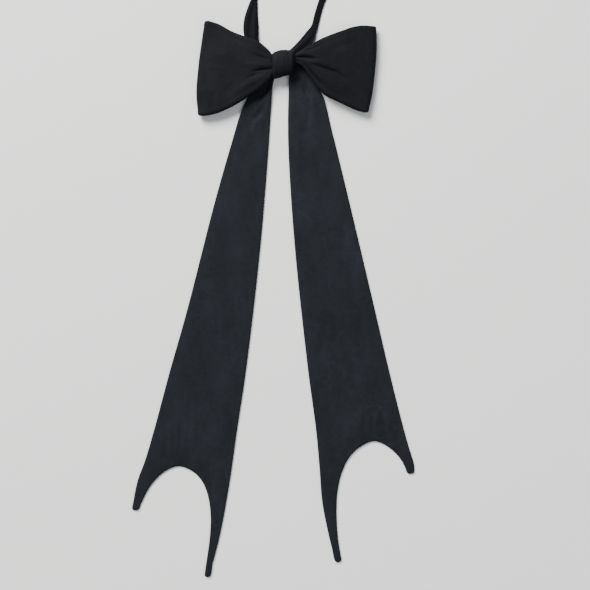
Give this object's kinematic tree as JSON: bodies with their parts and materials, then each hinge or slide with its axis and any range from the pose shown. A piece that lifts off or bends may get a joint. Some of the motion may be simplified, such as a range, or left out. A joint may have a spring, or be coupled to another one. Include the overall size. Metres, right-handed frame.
{
  "type": "hair bow",
  "caption": "Long-tailed tied hair bow of dark cloth: two folded loops, a wrapped knot, two tails with arched ends and a narrow band that ties round the hair.",
  "frame": {"origin": "centre of the knot's back, on the surface that the bow lies on", "axes": "+X towards the right loop seen from the front, +Y towards the band and away from the tails, +Z out of the front of the bow"},
  "size_m": [0.2513, 0.6229, 0.017],
  "materials": {
    "sash_front": "soft satin sheen with a tone-on-tone woven pattern",
    "sash_back": "matt woven cloth",
    "interlining": "pressed felt",
    "knot_cloth": "soft satin sheen, gathered",
    "band_cloth": "soft satin sheen"
  },
  "bodies": {
    "knot": {"knot_wrap_outer": "knot_cloth", "knot_wrap_lining": "sash_back", "knot_core": "interlining", "left_band_taper": "sash_front", "right_band_taper": "sash_front", "neck_band": "band_cloth"},
    "left_loop": {"left_loop_outer_ply": "sash_front", "left_loop_interlining": "interlining", "left_loop_inner_ply": "sash_back"},
    "left_tail_top": {"left_tail_neck": "sash_front"},
    "left_tail": {"left_tail_back_panel": "sash_back", "left_tail_interlining": "interlining", "left_tail_front_panel": "sash_front"},
    "right_loop": {"right_loop_outer_ply": "sash_front", "right_loop_interlining": "interlining", "right_loop_inner_ply": "sash_back"},
    "right_tail_top": {"right_tail_neck": "sash_front"},
    "right_tail": {"right_tail_back_panel": "sash_back", "right_tail_interlining": "interlining", "right_tail_front_panel": "sash_front"}
  },
  "joints": [
    {"name": "left_loop_lift", "type": "hinge", "parent": "knot", "child": "left_loop", "pos_m": [-0.0134, 0, 0.0109], "axis": [0, 1, 0], "range_deg": [0, 50]},
    {"name": "left_tail_swing", "type": "hinge", "parent": "knot", "child": "left_tail_top", "pos_m": [-0.005, -0.003, 0], "axis": [0, 0, -1], "range_deg": [-4, 15]},
    {"name": "left_tail_lift", "type": "hinge", "parent": "left_tail_top", "child": "left_tail", "pos_m": [-0.028, -0.066, 0.00075], "axis": [-1, 0, 0], "range_deg": [0, 90]},
    {"name": "right_loop_lift", "type": "hinge", "parent": "knot", "child": "right_loop", "pos_m": [0.0134, 0, 0.0109], "axis": [0, -1, 0], "range_deg": [0, 50]},
    {"name": "right_tail_swing", "type": "hinge", "parent": "knot", "child": "right_tail_top", "pos_m": [0.005, -0.003, 0], "axis": [0, 0, 1], "range_deg": [-4, 15]},
    {"name": "right_tail_lift", "type": "hinge", "parent": "right_tail_top", "child": "right_tail", "pos_m": [0.028, -0.066, 0.00075], "axis": [-1, 0, 0], "range_deg": [0, 90]}
  ]
}
